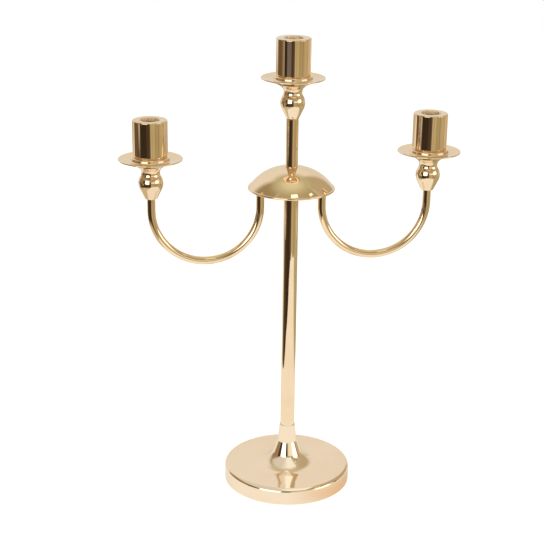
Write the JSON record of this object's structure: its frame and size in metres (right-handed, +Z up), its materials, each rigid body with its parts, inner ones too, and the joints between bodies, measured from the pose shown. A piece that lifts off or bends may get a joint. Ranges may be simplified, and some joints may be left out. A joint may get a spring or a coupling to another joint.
{
  "type": "three-arm tabletop candelabra",
  "caption": "Tabletop candelabra with a round weighted foot, a slender stem, a domed cap, two U-shaped arms and upright candle cups on drip pans, in polished gold.",
  "frame": {"origin": "centre of the foot's underside, on the stem's axis", "axes": "+Z up along the stem, X along the two arms, the front towards -Y"},
  "size_m": [0.406, 0.1562, 0.5567],
  "materials": {
    "gold_castings": "polished, gold plated",
    "gold_tubes": "polished",
    "champagne_gold": "polished, pale champagne gold",
    "plain_steel": "zinc plated",
    "cast_iron": "as cast, painted",
    "felt": "black felt"
  },
  "bodies": {
    "stand": {"felt_pad": "felt", "base_weight": "cast_iron", "base_washer": "plain_steel", "base_nut": "plain_steel", "base_shell": "champagne_gold", "foot_sleeve": "plain_steel", "stem_bush_lower": "plain_steel", "stem_tube": "gold_tubes", "stem_bush_upper": "plain_steel", "tie_rod": "plain_steel", "upper_tube": "gold_tubes", "upper_tube_bushes": "plain_steel", "centre_knob": "gold_castings", "centre_pan": "gold_castings", "centre_cup": "gold_castings", "centre_screw": "plain_steel"},
    "arm_section": {"arm_bracket": "plain_steel", "arm_washers": "plain_steel", "arm_nuts": "plain_steel", "dome_sleeve": "plain_steel", "dome": "gold_tubes", "left_arm": "gold_tubes", "right_arm": "gold_tubes", "left_arm_studs": "plain_steel", "right_arm_studs": "plain_steel", "left_knob": "gold_castings", "left_pan": "gold_castings", "left_cup": "gold_castings", "left_screw": "plain_steel", "right_knob": "gold_castings", "right_pan": "gold_castings", "right_cup": "gold_castings", "right_screw": "plain_steel"}
  },
  "joints": [
    {"name": "arm_swivel", "type": "hinge", "parent": "stand", "child": "arm_section", "pos_m": [0, 0, 0.381], "axis": [0, 0, 1], "continuous": true}
  ]
}
